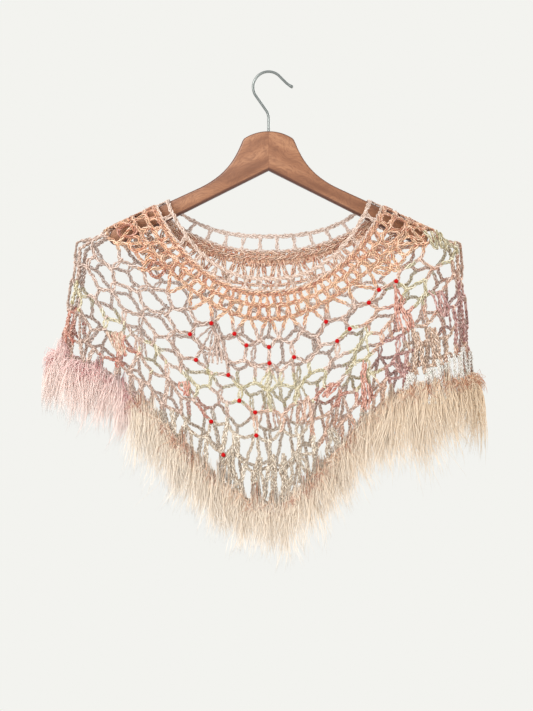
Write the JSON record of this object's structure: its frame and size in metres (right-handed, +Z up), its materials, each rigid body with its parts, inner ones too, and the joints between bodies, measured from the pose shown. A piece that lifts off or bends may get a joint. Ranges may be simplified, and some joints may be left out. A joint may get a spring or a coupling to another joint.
{
  "type": "capelet on a hanger",
  "caption": "Crocheted lace shoulder capelet with a round neck, a pointed hem and a long hair fringe, hanging on a wooden coat hanger with a wire hook.",
  "frame": {"origin": "inside the hook, under the top of its bend, where a rail carries the hanger", "axes": "+Z up out of the hook, +X to the right as seen from the front, +Y to the back; the front of the capelet faces -Y"},
  "size_m": [0.6082, 0.1045, 0.686],
  "materials": {
    "wood": "satin varnished",
    "steel": "polished",
    "taupe_yarn": "matte yarn",
    "peach_yarn": "slightly shiny ribbon yarn",
    "blush_yarn": "matte mixed yarn",
    "pink_hair": "long soft pile",
    "cream_hair": "long soft pile",
    "red_bead": "glossy"
  },
  "bodies": {
    "root": {"hanger_bow": "wood", "hanger_hook": "steel", "neck_edging_front": "taupe_yarn", "neck_edging_back": "taupe_yarn", "yoke_front": "peach_yarn", "yoke_back": "peach_yarn", "net_front": "blush_yarn", "net_back": "blush_yarn", "fringe_pink_front": "pink_hair", "fringe_pink_back": "pink_hair", "fringe_cream_front": "cream_hair", "fringe_cream_back": "cream_hair"}
  },
  "joints": []
}
